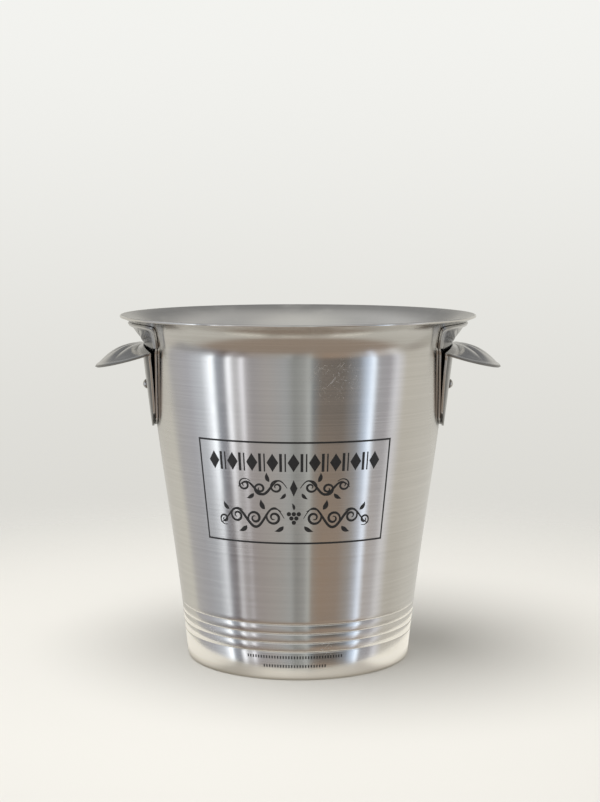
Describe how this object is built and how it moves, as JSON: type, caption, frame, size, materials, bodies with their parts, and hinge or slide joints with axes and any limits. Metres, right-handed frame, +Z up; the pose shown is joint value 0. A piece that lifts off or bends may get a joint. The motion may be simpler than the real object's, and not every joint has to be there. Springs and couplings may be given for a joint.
{
  "type": "champagne bucket",
  "caption": "Tall round aluminium champagne bucket: tapered wall, fine turned grooves near the base, flared rim and a riveted shell-shaped handle on each side.",
  "frame": {"origin": "on the bucket's axis, at the floor it stands on", "axes": "+Z up along the bucket's axis; +X towards the right-hand handle, seen from the printed front; -Y out of the printed front"},
  "size_m": [0.2462, 0.215, 0.2088],
  "materials": {
    "spun_body": "spun and polished, fine turning lines, light wear",
    "pressed_back_plate": "pressed sheet, polished, bright edges",
    "pressed_grip": "pressed sheet, polished, bright edges",
    "rivet_metal": "domed, satin",
    "printed_ink": "thin black screen-printed ink"
  },
  "bodies": {
    "root": {"bucket_body": "spun_body", "handle_back_plate_left": "pressed_back_plate", "handle_back_plate_right": "pressed_back_plate", "handle_grip_left": "pressed_grip", "handle_grip_right": "pressed_grip", "rivet_left": "rivet_metal", "rivet_right": "rivet_metal"}
  },
  "joints": []
}
